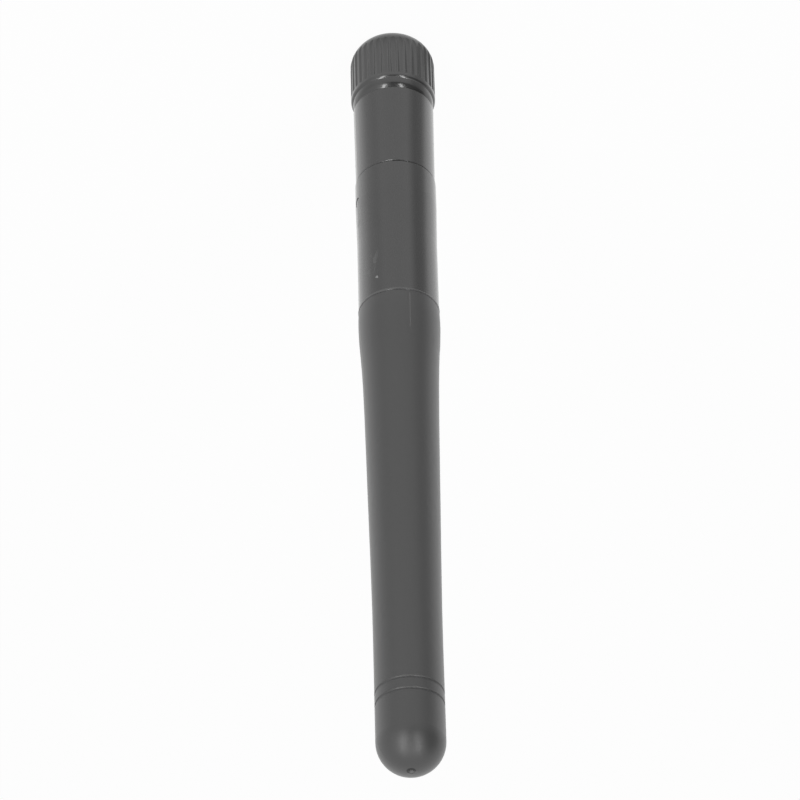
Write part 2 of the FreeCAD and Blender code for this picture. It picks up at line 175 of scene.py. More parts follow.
class Graph:
    """The node tree of one material or of the world, built node by node.

    Args:
        owner: The material or world whose tree it is.
    """

    def __init__(self, owner: bpy.types.Material | bpy.types.World) -> None:
        """Empties the owner's node tree."""
        owner.use_nodes = True
        self.tree = owner.node_tree
        self.tree.nodes.clear()

    def add(self, kind: str, settings: Mapping[str, Any] | None = None,
            sockets: Mapping[int | str, Any] | None = None, output: int | str = 0) -> Signal:
        """Adds a node.

        Args:
            kind: The node's type.
            settings: Its own settings, such as a Math node's operation, which are set first.
            sockets: Values or signals for its input sockets, by name or number.
            output: Which output the returned signal carries.

        Returns:
            The signal of that output.
        """
        node = self.tree.nodes.new(kind)
        for name, value in (settings or {}).items():
            setattr(node, name, value)
        for name, value in (sockets or {}).items():
            if isinstance(value, Signal):
                self.tree.links.new(value.socket, node.inputs[name])
            else:
                node.inputs[name].default_value = value
        return Signal(self, node, output)

    def place(self, stretch: Place = (1.0, 1.0, 1.0)) -> Signal:
        """The spot on the piece, in metres, stretched along the three axes."""
        spot = self.add("ShaderNodeTexCoord", output="Object")
        return self.add("ShaderNodeVectorMath", {"operation": "MULTIPLY"}, {0: spot, 1: stretch})

    def noise(self, size: float, detail: float = 2.0, stretch: Place = (1.0, 1.0, 1.0)) -> Signal:
        """Soft random pattern.

        Args:
            size: Size of its spots, in metres.
            detail: How many finer layers it has.
            stretch: How much it is squeezed along the three axes.

        Returns:
            A value round 0.5.
        """
        return self.add("ShaderNodeTexNoise", {}, {"Vector": self.place(stretch), "Scale": 1.0 / size,
                                                   "Detail": detail})

    def part_of_place(self, axis: str) -> Signal:
        """One coordinate of the spot on the piece, in metres."""
        return self.add("ShaderNodeSeparateXYZ", {}, {0: self.place()}, output=axis)

    def radius(self) -> Signal:
        """Distance of the spot from the antenna's axis, in metres."""
        flat = self.place((1.0, 1.0, 0.0))
        return self.add("ShaderNodeVectorMath", {"operation": "LENGTH"}, {0: flat}, output="Value")

    def bump(self, height: Signal, depth: float, under: Signal | None = None) -> Signal:
        """Surface relief.

        Args:
            height: The relief, between 0 and 1.
            depth: Its real depth, in metres.
            under: Relief that it lies on.

        Returns:
            The signal for a shader's Normal.
        """
        sockets = {"Height": height, "Distance": depth, "Strength": 1.0}
        if under is not None:
            sockets["Normal"] = under
        return self.add("ShaderNodeBump", {}, sockets)

    def blend(self, share: Number, first: Colour, second: Colour) -> Signal:
        """Colour between two colours."""
        return self.add("ShaderNodeMix", {"data_type": "RGBA"},
                        {0: share, 6: (*first, 1.0), 7: (*second, 1.0)}, output=2)

    def surface(self, **sockets: Any) -> None:
        """Ends a material with a Principled shader.

        Args:
            sockets: Values or signals by socket name, with an underscore for each space.
        """
        named = {name.replace("_", " "): value for name, value in sockets.items()}
        shader = self.add("ShaderNodeBsdfPrincipled", {}, named)
        self.add("ShaderNodeOutputMaterial", {}, {"Surface": shader})


def new_material(name: str) -> tuple[bpy.types.Material, Graph]:
    """Makes an empty material.

    Args:
        name: The material's name.

    Returns:
        The material and its node tree.
    """
    material = bpy.data.materials.new(name)
    return material, Graph(material)


@dataclass(frozen=True)
class GlossMoulding:
    """Hard moulded plastic of the hinge barrels, polished and a little scuffed."""

    tone: float = 0.028
    roughness: float = 0.24
    coat: float = 0.7
    coat_roughness: float = 0.16
    cloud_size: float = 3.0 * MM
    smudge_size: float = 5.0 * MM
    peel_size: float = 0.7 * MM
    peel_depth: float = 0.0012 * MM
    hairline_width: float = 0.06 * MM
    scuffed: bool = False
    scuff_tone: float = 0.035
    scuff_roughness: float = 0.2
    streak_width: float = 0.5 * MM
    front_edge: Span = (0.5 * MM, -0.5 * MM)
    patch_across: float = 4.2 * MM
    patch_width: Span = (0.9 * MM, 0.3 * MM)
    patch_height: float = 37.4 * MM
    patch_length: Span = (2.4 * MM, 0.9 * MM)
    pin_edge: Span = (4.5 * MM, 4.9 * MM)
    pin_height: float = 29.5 * MM
    pin_length: Span = (2.6 * MM, 1.2 * MM)

    def material(self) -> bpy.types.Material:
        """Builds the material.

        Returns:
            The finish, with rubbed marks where it is scuffed.
        """
        material, graph = new_material("scuffed_gloss" if self.scuffed else "moulded_gloss")
        cloud = graph.noise(self.cloud_size, 3.0)
        smudge = graph.noise(self.smudge_size, 5.0, (1.0, 1.0, 0.5))
        peel = graph.noise(self.peel_size, 1.0)
        hairlines = graph.noise(self.hairline_width, 1.0, (1.0, 1.0, 0.04)).step(0.66, 0.74)
        tone = self.tone * (0.96 + 0.08 * cloud) + 0.004 * hairlines
        rough = self.roughness - 0.04 + 0.08 * smudge + 0.08 * hairlines
        if self.scuffed:
            marks = self.scuffs(graph)
            tone = tone + self.scuff_tone * marks
            rough = rough + self.scuff_roughness * marks
        graph.surface(Base_Color=tone, Roughness=rough, IOR=1.5, Coat_Weight=self.coat,
                      Coat_Roughness=self.coat_roughness, Normal=graph.bump(peel, self.peel_depth))
        return material

    def scuffs(self, graph: Graph) -> Signal:
        """Rubbed marks on the housing's front, beside the hinge pin and above it.

        Args:
            graph: The node tree of the finish.

        Returns:
            1 where a mark is strongest, and 0 off the marks.
        """
        across = graph.part_of_place("X")
        up = graph.part_of_place("Z")
        front = graph.part_of_place("Y").step(*self.front_edge)
        narrow = abs(across - self.patch_across).step(*self.patch_width)
        tall = abs(up - self.patch_height).step(*self.patch_length)
        beside_pin = across.step(*self.pin_edge) * abs(up - self.pin_height).step(*self.pin_length)
        streaks = graph.noise(self.streak_width, 4.0, (1.0, 1.0, 0.45)).step(0.5, 0.66)
        return (narrow * tall * front + beside_pin) * streaks


@dataclass(frozen=True)
class FlutedMoulding:
    """Satin plastic of the grip collar, rubbed duller and paler on its ridges."""

    tone: float = 0.02
    roughness: float = 0.3
    coat: float = 0.95
    coat_roughness: float = 0.12
    ridge_reach: Span = (5.23 * MM, 5.32 * MM)
    rub_size: float = 0.8 * MM
    rub_wear: float = 0.15
    dust_size: float = 0.35 * MM
    grain_size: float = 0.09 * MM
    grain_depth: float = 0.002 * MM

    def material(self) -> bpy.types.Material:
        """Builds the material.

        Returns:
            The finish, with rubbed ridges and dust between them.
        """
        material, graph = new_material("fluted_satin")
        ridge = graph.radius().step(*self.ridge_reach)
        rubbed = ridge * graph.noise(self.rub_size, 4.0).step(0.3, 0.7)
        dust = graph.noise(self.dust_size, 3.0).step(0.6, 0.75) * (1.0 - ridge)
        grain = graph.noise(self.grain_size, 2.0)
        tone = self.tone + 0.006 * ridge + 0.012 * rubbed + 0.008 * dust
        rough = self.roughness + 0.04 * ridge + 0.06 * rubbed + 0.1 * dust
        coat = self.coat * (1.0 - self.rub_wear * rubbed)
        graph.surface(Base_Color=tone, Roughness=rough, IOR=1.5, Coat_Weight=coat,
                      Coat_Roughness=self.coat_roughness, Normal=graph.bump(grain, self.grain_depth))
        return material


@dataclass(frozen=True)
class MatteSleeve:
    """Soft matte cover of the radome: fine grain, mottling, flow lines and painted shade in the tip's
    dimple.
    """

    tone: float = 0.034
    roughness: float = 0.46
    coat: float = 0.95
    coat_roughness: float = 0.44
    name: str = "matte_sleeve"
    mottle_size: float = 1.1 * MM
    mottle_depth: float = 0.008 * MM
    cloud_size: float = 6.0 * MM
    flow_width: float = 0.5 * MM
    grain_size: float = 0.12 * MM
    grain_depth: float = 0.006 * MM
    dimpled: bool = False
    dimple_shade_strength: float = 0.72
    dimple_shade_reach: Span = (0.59 * MM, 0.49 * MM)
    dimple_shade_shift: float = 0.14 * MM
    dimple_shade_side: Place = (0.6, -0.8, 0.0)
    dimple_shade_fade: Span = (-0.35 * MM, 0.1 * MM)
    dimple_shade_depth: Span = (1.0 * MM, 0.7 * MM)

    def material(self) -> bpy.types.Material:
        """Builds the material.

        Returns:
            The finish, with painted shade in the dimple where it is dimpled.
        """
        material, graph = new_material(self.name)
        mottle = graph.noise(self.mottle_size, 4.0)
        cloud = graph.noise(self.cloud_size, 2.0, (1.0, 1.0, 0.35))
        flow = graph.noise(self.flow_width, 2.0, (1.0, 1.0, 0.03))
        grain = graph.noise(self.grain_size, 3.0)
        tone = self.tone * (0.9 + 0.08 * mottle + 0.08 * cloud + 0.04 * flow)
        rough = self.roughness - 0.05 + 0.06 * mottle + 0.04 * cloud
        coat: Number = self.coat
        if self.dimpled:
            # Painted shade: tone and coat are darkened in the dimple and round one side of its edge, where
            # the recess lies in shadow.
            unshaded = 1.0 - self.dimple_shade_strength * self.painted_dimple_shade(graph)
            tone = tone * unshaded
            coat = self.coat * unshaded
        fine = graph.bump(grain, self.grain_depth)
        graph.surface(Base_Color=tone, Roughness=rough, IOR=1.4, Coat_Weight=coat,
                      Coat_Roughness=self.coat_roughness,
                      Normal=graph.bump(mottle, self.mottle_depth, fine))
        return material

    def painted_dimple_shade(self, graph: Graph) -> Signal:
        """Painted shade in the dimple at the tip and round one side of its edge, where the recess lies in
        shadow.

        Args:
            graph: The node tree of the sleeve's finish.

        Returns:
            1 where the painted shade is deepest, and 0 away from the dimple.
        """
        middle = tuple(self.dimple_shade_shift * share for share in self.dimple_shade_side)
        reach = graph.add("ShaderNodeVectorMath", {"operation": "DISTANCE"},
                          {0: graph.place((1.0, 1.0, 0.0)), 1: middle}, output="Value")
        sideways = graph.add("ShaderNodeVectorMath", {"operation": "DOT_PRODUCT"},
                             {0: graph.place(), 1: self.dimple_shade_side}, output="Value")
        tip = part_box("radome")[1].z
        at_tip = graph.part_of_place("Z").step(*(tip - depth for depth in self.dimple_shade_depth))
        return reach.step(*self.dimple_shade_reach) * sideways.step(*self.dimple_shade_fade) * at_tip


@dataclass(frozen=True)
class TurnedMetal:
    """Turned or drawn metal, with tool rings or drawing lines and a little tarnish."""

    slot: str
    name: str
    colour: Colour
    tarnish: Colour
    roughness: float = 0.2
    rings: Place = (0.02, 0.02, 1.0)
    tarnish_size: float = 1.6 * MM
    line_width: float = 0.05 * MM
    line_depth: float = 0.003 * MM

    def material(self) -> bpy.types.Material:
        """Builds the material.

        Returns:
            The finish.
        """
        material, graph = new_material(self.name)
        tarnish = graph.noise(self.tarnish_size, 5.0).step(0.45, 0.8)
        lines = graph.noise(self.line_width, 1.0, self.rings)
        rough = self.roughness + 0.12 * tarnish + 0.08 * lines
        colour = graph.blend(tarnish, self.colour, self.tarnish)
        graph.surface(Base_Color=colour, Metallic=1.0, Roughness=rough,
                      Normal=graph.bump(lines, self.line_depth))
        return material


@dataclass(frozen=True)
class SoftPlastic:
    """Plain inner plastic or rubber, slightly uneven."""

    slot: str
    name: str
    colour: Colour
    shade: Colour
    roughness: float
    grain_size: float = 0.2 * MM
    grain_depth: float = 0.004 * MM
    cloud_size: float = 2.0 * MM

    def material(self) -> bpy.types.Material:
        """Builds the material.

        Returns:
            The finish.
        """
        material, graph = new_material(self.name)
        cloud = graph.noise(self.cloud_size, 4.0)
        grain = graph.noise(self.grain_size, 3.0)
        rough = self.roughness - 0.06 + 0.12 * cloud
        colour = graph.blend(cloud, self.colour, self.shade)
        graph.surface(Base_Color=colour, Roughness=rough, Normal=graph.bump(grain, self.grain_depth))
        return material


def inner_finishes() -> dict[str, TurnedMetal | SoftPlastic]:
    """The finishes of what lies inside.

    Returns:
        Each finish, by the name of its material slot.
    """
    lengthwise = (1.0, 1.0, 0.02)
    finishes = (
        TurnedMetal("plated_brass", "nickel_plate", (0.66, 0.62, 0.55), (0.45, 0.41, 0.34), 0.18),
        TurnedMetal("gold_contact", "gold_plate", (0.94, 0.66, 0.27), (0.72, 0.46, 0.17), 0.2),
        TurnedMetal("raw_brass", "drawn_brass", (0.79, 0.58, 0.27), (0.42, 0.28, 0.13), 0.3, lengthwise),
        TurnedMetal("spring_steel", "ground_steel", (0.5, 0.5, 0.5), (0.3, 0.29, 0.28), 0.28),
        SoftPlastic("white_dielectric", "waxy_white", (0.84, 0.84, 0.81), (0.74, 0.73, 0.69), 0.32),
        SoftPlastic("natural_plastic", "uncoloured_moulding", (0.74, 0.72, 0.65), (0.62, 0.6, 0.53), 0.45),
        SoftPlastic("washer_nylon", "washer_plastic", (0.7, 0.69, 0.64), (0.58, 0.57, 0.51), 0.4),
        SoftPlastic("silicone", "soft_ring", (0.38, 0.07, 0.04), (0.3, 0.05, 0.03), 0.5),
        SoftPlastic("cable_jacket", "cable_jacket", (0.028, 0.028, 0.03), (0.02, 0.02, 0.021), 0.4),
        SoftPlastic("shrink_tube", "shrunk_tube", (0.025, 0.025, 0.026), (0.018, 0.018, 0.018), 0.5,
                    grain_size=0.1 * MM),
    )
    return {finish.slot: finish for finish in finishes}


def dress(node: str, material: bpy.types.Material) -> bpy.types.Object:
    """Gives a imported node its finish.

    Args:
        node: The node's name.
        material: The finish that it takes.

    Returns:
        The node's object.
    """
    piece = frame["nodes"][node]
    for place in piece.material_slots:
        place.material = material
    return piece


def new_piece(name: str, shape: bmesh.types.BMesh, materials: Sequence[bpy.types.Material],
              sharp_angle: float = 40.0) -> bpy.types.Object:
    """Turns a finished mesh into an object with smooth shading.

    Args:
        name: The piece's name.
        shape: Its mesh, which is used up.
        materials: Its finishes, in the order that its faces number them.
        sharp_angle: The angle in degrees from which an edge stays sharp.

    Returns:
        The new object.
    """
    bmesh.ops.recalc_face_normals(shape, faces=shape.faces)
    mesh = bpy.data.meshes.new(name)
    shape.to_mesh(mesh)
    shape.free()
    for polygon in mesh.polygons:
        polygon.use_smooth = True
    mesh.set_sharp_from_angle(angle=math.radians(sharp_angle))
    for material in materials:
        mesh.materials.append(material)
    piece = bpy.data.objects.new(name, mesh)
    bpy.context.scene.collection.objects.link(piece)
    return piece


def loops_to_mesh(loops: Sequence[Sequence[Vector]],
                  finish_of: Callable[[int], int] = lambda _: 0) -> bmesh.types.BMesh:
    """Joins closed loops of equally many points with quads, and closes both ends.

    Args:
        loops: The loops, from one end to the other.
        finish_of: The number of the finish for the band after each loop.

    Returns:
        The closed mesh.
    """
    shape = bmesh.new()
    rows = [[shape.verts.new(spot) for spot in loop] for loop in loops]
    for number, (row, following) in enumerate(zip(rows, rows[1:])):
        for k in range(len(row)):
            nearest = (k + 1) % len(row)
            face = shape.faces.new((row[k], row[nearest], following[nearest], following[k]))
            face.material_index = finish_of(number)
    shape.faces.new(rows[0])
    shape.faces.new(rows[-1])
    return shape


def circle(radius: float, height: float, count: int) -> list[Vector]:
    """Points of a level circle about the antenna's axis."""
    turn = 2.0 * math.pi / count
    return [Vector((radius * math.cos(k * turn), radius * math.sin(k * turn), height)) for k in range(count)]


def outward_at(turn: float) -> Vector:
    """Level direction at an angle in degrees from -Y towards +X."""
    return Vector((math.sin(math.radians(turn)), -math.cos(math.radians(turn)), 0.0))


@dataclass
class Coupling:
    """Fluted grip collar and the threaded nut inside it, which spin together."""

    thread_radius: float = 3.175 * MM
    thread_depth: float = 0.38 * MM
    thread_turns_per_inch: int = 36
    crest_share: float = 0.125
    root_share: float = 0.75
    runout_turns: float = 0.35
    least_rise: float = 0.05
    steps_per_turn: int = 96

    def build(self, finishes: Mapping[str, bpy.types.Material]) -> list[bpy.types.Object]:
        """Dresses the collar and the nut and cuts the nut's thread.

        Args:
            finishes: The inner finishes, by material slot.

        Returns:
            The three pieces.
        """
        return [dress("grip_collar", FlutedMoulding().material()),
                dress("coupling_nut", finishes["plated_brass"]),
                self.thread(finishes["plated_brass"])]

    def thread(self, metal: bpy.types.Material) -> bpy.types.Object:
        """Helical ridge of the coupling thread, on the wall of the nut's bore.

        Args:
            metal: The nut's finish.

        Returns:
            The ridge.
        """
        pitch = INCH / self.thread_turns_per_inch
        mount = next(m for m in frame["record"]["mounts"] if m["name"] == "coupling_thread")
        length = mount["dims"]["length_mm"] * MM
        start = mount["pos_m"][2] - length / 2.0 + pitch / 2.0
        turns = (length - pitch) / pitch
        count = round(turns * self.steps_per_turn)
        half_root = pitch * self.root_share / 2.0
        half_crest = pitch * self.crest_share / 2.0
        loops = []
        for k in range(count + 1):
            turn = turns * k / count
            rise = min(1.0, turn / self.runout_turns, (turns - turn) / self.runout_turns)
            depth = self.thread_depth * max(rise, self.least_rise)
            angle = 2.0 * math.pi * turn
            outward = Vector((math.cos(angle), math.sin(angle), 0.0))
            middle = start + pitch * turn
            crest = self.thread_radius - depth
            section = ((self.thread_radius, -half_root), (crest, -half_crest),
                       (crest, half_crest), (self.thread_radius, half_root))
            loops.append([outward * radius + Vector((0.0, 0.0, middle + along))
                          for radius, along in section])
        piece = new_piece("nut_thread", loops_to_mesh(loops), [metal], sharp_angle=30.0)
        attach(piece, Body.COUPLING.value)
        return piece


@dataclass
class Connector:
    """Turned body, snap ring, seal, insulator, contact and ferrule under the coupling."""

    def build(self, finishes: Mapping[str, bpy.types.Material]) -> list[bpy.types.Object]:
        """Dresses the connector's own nodes.

        Args:
            finishes: The inner finishes, by material slot.

        Returns:
            Its six pieces.
        """
        slots = {"snap_ring": "spring_steel", "connector_body": "plated_brass", "sealing_ring": "silicone",
                 "contact_insulator": "white_dielectric", "centre_contact": "gold_contact",
                 "crimp_ferrule": "plated_brass"}
        return [dress(node, finishes[slot]) for node, slot in slots.items()]


@dataclass
class HingeBarrels:
    """Gloss base barrel and hinge housing, their pins, plugs and washers, and the mark of the mould's gate.

    The gate's foot lies one gate_stand under the wall, and its profile pairs heights over the foot, in
    units of gate_stand, with shares of its radius. The plug's profile pairs shares of the way from the
    pin to its crown with shares of its radius.
    """

    gate_height: float = 40.2 * MM
    gate_turn: float = 48.5
    gate_radius: float = 0.2 * MM
    gate_stand: float = 0.07 * MM
    gate_profile: Profile = ((0.0, 1.0), (1.0, 0.95), (1.6, 0.8), (1.9, 0.5), (2.0, 0.15))
    gate_points: int = 24
    plug_radius: float = 0.6 * MM
    plug_sink: float = 0.045 * MM
    plug_profile: Profile = ((0.0, 1.0), (0.75, 1.0), (0.9, 0.93), (1.0, 0.78), (1.0, 0.3))
    plug_points: int = 40

    def build(self, finishes: Mapping[str, bpy.types.Material]) -> list[bpy.types.Object]:
        """Dresses the barrels, pins and washers, closes the pins' holes and adds the gate's mark.

        Args:
            finishes: The inner finishes, by material slot.

        Returns:
            All of these pieces.
        """
        scuffed = GlossMoulding(scuffed=True).material()
        pieces = [dress("base_barrel", GlossMoulding().material()), dress("hinge_housing", scuffed)]
        for side in ("left", "right"):
            pieces.append(dress(f"pivot_pin_{side}", finishes["spring_steel"]))
            pieces.append(dress(f"friction_washer_{side}", finishes["washer_nylon"]))
            pieces.append(self.pin_plug(side, scuffed))
        broken = SoftPlastic("gloss_plastic", "broken_gate", (0.3, 0.3, 0.3), (0.2, 0.2, 0.2), 0.5)
        return pieces + [self.gate_mark(broken.material())]

    def pin_plug(self, side: str, plastic: bpy.types.Material) -> bpy.types.Object:
        """Small plug that closes the housing's hole over a pin, a little below the surface.

        Args:
            side: Which pin it covers.
            plastic: The housing's finish.

        Returns:
            The plug.
        """
        low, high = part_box(f"pivot_pin_{side}")
        height = (low.z + high.z) / 2.0
        outward = 1.0 if low.x > 0.0 else -1.0
        pin_end = high.x if outward > 0.0 else low.x
        crown = outward * (wall_radius("hinge_housing", height) - self.plug_sink)
        angles = [2.0 * math.pi * k / self.plug_points for k in range(self.plug_points)]
        loops = []
        for along, share in self.plug_profile:
            reach = self.plug_radius * share
            place = pin_end + (crown - pin_end) * along
            loops.append([Vector((place, reach * math.cos(angle), height + reach * math.sin(angle)))
                          for angle in angles])
        piece = new_piece(f"pin_plug_{side}", loops_to_mesh(loops), [plastic], sharp_angle=70.0)
        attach(piece, Body.UPPER.value)
        return piece

    def gate_mark(self, plastic: bpy.types.Material) -> bpy.types.Object:
        """Small round nib that the mould's gate leaves on the housing.

        Args:
            plastic: The finish of the broken gate.

        Returns:
            The nib.
        """
        outward = outward_at(self.gate_turn)
        sideways = Vector((outward.y, -outward.x, 0.0))
        wall = wall_radius("hinge_housing", self.gate_height)
        foot = outward * (wall - self.gate_stand) + Vector((0.0, 0.0, self.gate_height))
        loops = []
        for stand, share in self.gate_profile:
            reach = self.gate_radius * share
            ring = []
            for k in range(self.gate_points):
                angle = 2.0 * math.pi * k / self.gate_points
                across = sideways * (reach * math.cos(angle)) + Vector((0.0, 0.0, reach * math.sin(angle)))
                ring.append(foot + across + outward * (stand * self.gate_stand))
            loops.append(ring)
        piece = new_piece("gate_mark", loops_to_mesh(loops), [plastic], sharp_angle=70.0)
        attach(piece, Body.UPPER.value)
        return piece


def wall_radius(node: str, height: float) -> float:
    """Outer radius of a round node at a height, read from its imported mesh.

    Args:
        node: The node's name.
        height: The height above the coupling's flat end.

    Returns:
        The radius between the nearest rings of points below and above that height.
    """
    spots = [(v.co.z, math.hypot(v.co.x, v.co.y)) for v in frame["nodes"][node].data.vertices]
    digits = 5
    slack = 0.01 * MM
    ring_depth = 0.02 * MM
    below = max(round(z, digits) for z, _ in spots if z <= height + slack)
    above = min(round(z, digits) for z, _ in spots if z >= height - slack)
    radii = [max(r for z, r in spots if abs(z - level) < ring_depth) for level in (below, above)]
    share = 0.0 if above == below else (height - below) / (above - below)
    return radii[0] + (radii[1] - radii[0]) * share


@dataclass
class Lead:
    """Thin coaxial lead from the contact through the hinge to the dipole."""

    jacket_radius: float = 0.685 * MM
    dielectric_radius: float = 0.42 * MM
    conductor_radius: float = 0.15 * MM
    edge: float = 0.04 * MM
    jacket_in_ferrule: float = 1.4 * MM
    bend_start: float = 24.8 * MM
    bend_end: float = 29.2 * MM
    bend_steps: int = 40
    around: int = 40

    def build(self, finishes: Mapping[str, bpy.types.Material]) -> list[bpy.types.Object]:
        """Makes the lead, with close rings where it passes the hinge.

        Args:
            finishes: The inner finishes, by material slot.

        Returns:
            The lead alone.
        """
        section = self.section()
        loops = [circle(radius, height, self.around) for radius, height, _ in section]
        materials = [finishes["cable_jacket"], finishes["white_dielectric"], finishes["plated_brass"]]
        piece = new_piece("coax_lead", loops_to_mesh(loops, lambda k: section[k][2].value), materials)
        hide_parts("coax_cable")
        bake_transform(piece)
        return [piece]

    def section(self) -> list[tuple[float, float, Layer]]:
        """The lead's outline from the contact to the rod.

        Returns:
            Each ring's radius and height, and the layer that shows from it to the next ring.
        """
        low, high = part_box("coax_cable")
        insulator_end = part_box("contact_insulator")[1].z
        jacket_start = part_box("crimp_ferrule")[1].z - self.jacket_in_ferrule
        jacket_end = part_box("dipole_sleeve")[1].z
        rod_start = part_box("radiator_rod")[0].z
        jacket, dielectric, conductor = self.jacket_radius, self.dielectric_radius, self.conductor_radius
        stretch = (self.bend_end - self.bend_start) / self.bend_steps
        return [
            (conductor - self.edge, low.z, Layer.CONDUCTOR),
            (conductor, low.z + self.edge, Layer.CONDUCTOR),
            (conductor, insulator_end, Layer.DIELECTRIC),
            (dielectric, insulator_end, Layer.DIELECTRIC),
            (dielectric, jacket_start, Layer.JACKET),
            (jacket - self.edge, jacket_start, Layer.JACKET),
            (jacket, jacket_start + self.edge, Layer.JACKET),
            (jacket, self.bend_start, Layer.JACKET),
            *((jacket, self.bend_start + stretch * (k + 1), Layer.JACKET) for k in range(self.bend_steps)),
            (jacket, jacket_end - self.edge, Layer.JACKET),
            (jacket - self.edge, jacket_end, Layer.DIELECTRIC),
            (dielectric, jacket_end, Layer.DIELECTRIC),
            (dielectric, rod_start, Layer.CONDUCTOR),
            (conductor, rod_start, Layer.CONDUCTOR),
            (conductor, high.z - self.edge, Layer.CONDUCTOR),
            (conductor - self.edge, high.z, Layer.CONDUCTOR),
        ]


@dataclass
class Sleeve:
    """Matte radome, the bead of glue at its lip, and the witness line and gate that its mould leaves.

    The line's profile pairs places across it, in halves of its width, with heights in units of
    line_stand. The bead's pairs millimetres out from the housing's wall with millimetres up from the lip,
    and the nib's pairs millimetres up from the tip with shares of its radius.
    """

    line_turn: float = 1.0
    line_start: float = 0.35 * MM
    line_length: float = 5.4 * MM
    line_width: float = 0.16 * MM
    line_stand: float = 0.035 * MM
    line_profile: Profile = ((-1.0, -0.6), (-0.6, 0.5), (-0.2, 1.0), (0.2, 1.0), (0.6, 0.5), (1.0, -0.6))
    line_steps: int = 60
    line_fades: Span = (4.0, 2.0)
    least_fade: float = 0.2
    dot_radius: float = 0.16 * MM
    bead_profile: Profile = ((-0.5, -0.3), (0.0, -0.3), (0.04, -0.27), (0.055, -0.22), (0.05, -0.15),
                             (0.025, -0.08), (-0.01, -0.02), (-0.03, 0.02), (-0.5, 0.02))
    bead_points: int = 180
    wall_below_lip: float = 0.6 * MM
    nib_turn: float = -163.0
    nib_shift: float = 0.07 * MM
    nib_radius: float = 0.3 * MM
    nib_profile: Profile = ((-0.22, 1.0), (-0.05, 1.0), (-0.03, 0.93), (-0.02, 0.8), (-0.02, 0.3))
    nib_points: int = 40

    def build(self) -> list[bpy.types.Object]:
        """Dresses the radome and adds its witness line, bead and nib.

        Returns:
            The four pieces.
        """
        matte = MatteSleeve(dimpled=True).material()
        # Paler, glossier finish for the witness line, glue bead and nib. Part of their light comes from
        # their shape, and the rest is a highlight painted in through the paler tone.
        rubbed = MatteSleeve(tone=0.062, coat_roughness=0.24, name="pale_ridge_highlight").material()
        return [dress("radome", matte), self.witness_line(rubbed), self.glue_line(rubbed),
                self.tip_nib(rubbed)]

    def glue_line(self, finish: bpy.types.Material) -> bpy.types.Object:
        """Thin bead that fills the seam between the housing and the sleeve's lip.

        Args:
            finish: The bead's finish.

        Returns:
            The bead.
        """
        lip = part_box("radome")[0].z
        wall = wall_radius("hinge_housing", lip - self.wall_below_lip)
        shape = bmesh.new()
        count = self.bead_points
        rows = [[shape.verts.new(spot) for spot in circle(wall + out * MM, lip + rise * MM, count)]
                for out, rise in self.bead_profile]
        for row, following in zip(rows, rows[1:] + rows[:1]):
            for k in range(count):
                shape.faces.new((row[k], row[(k + 1) % count], following[(k + 1) % count], following[k]))
        piece = new_piece("glue_line", shape, [finish], sharp_angle=60.0)
        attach(piece, Body.UPPER.value)
        return piece

    def tip_nib(self, finish: bpy.types.Material) -> bpy.types.Object:
        """Trimmed gate that stands in the dimple at the tip, a little off its middle.

        Args:
            finish: The nib's finish.

        Returns:
            The nib.
        """
        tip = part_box("radome")[1].z
        away = outward_at(self.nib_turn) * self.nib_shift
        loops = []
        for rise, share in self.nib_profile:
            ring = circle(self.nib_radius * share, tip + rise * MM, self.nib_points)
            loops.append([spot + away for spot in ring])
        piece = new_piece("tip_nib", loops_to_mesh(loops), [finish], sharp_angle=50.0)
        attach(piece, Body.UPPER.value)
        return piece

    def witness_line(self, finish: bpy.types.Material) -> bpy.types.Object:
        """Low ridge along the sleeve, which widens to a dot at its upper end.

        Args:
            finish: The ridge's finish.

        Returns:
            The ridge.
        """
        outward = outward_at(self.line_turn)
        sideways = Vector((outward.y, -outward.x, 0.0))
        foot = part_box("radome")[0].z + self.line_start
        count = self.line_steps
        fade_in, fade_out = self.line_fades
        loops = []
        for k in range(count + 1):
            along = self.line_length * k / count
            to_dot = abs(along - (self.line_length - self.dot_radius)) / self.dot_radius
            half = self.line_width / 2.0
            if to_dot < 1.0:
                half = max(half, self.dot_radius * math.sqrt(1.0 - to_dot ** 2))
            fade = min(1.0, (k + self.least_fade) / fade_in, (count - k + self.least_fade) / fade_out)
            height = foot + along
            wall = wall_radius("radome", height)
            loops.append([outward * (wall + stand * self.line_stand * fade) + sideways * (side * half * fade)
                          + Vector((0.0, 0.0, height)) for side, stand in self.line_profile])
        piece = new_piece("witness_line", loops_to_mesh(loops), [finish], sharp_angle=80.0)
        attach(piece, Body.UPPER.value)
        return piece


@dataclass
class Dipole:
    """Brass sleeve, insulator, shrunk tube, rod and spacers inside the radome."""

    def build(self, finishes: Mapping[str, bpy.types.Material]) -> list[bpy.types.Object]:
        """Dresses the dipole's own nodes.

        Args:
            finishes: The inner finishes, by material slot.

        Returns:
            Its six pieces.
        """
        slots = {"lower_spacer": "natural_plastic", "dipole_sleeve": "raw_brass",
                 "feed_insulator": "white_dielectric", "heat_shrink": "shrink_tube",
                 "radiator_rod": "raw_brass", "upper_spacer": "natural_plastic"}
        return [dress(node, finishes[slot]) for node, slot in slots.items()]


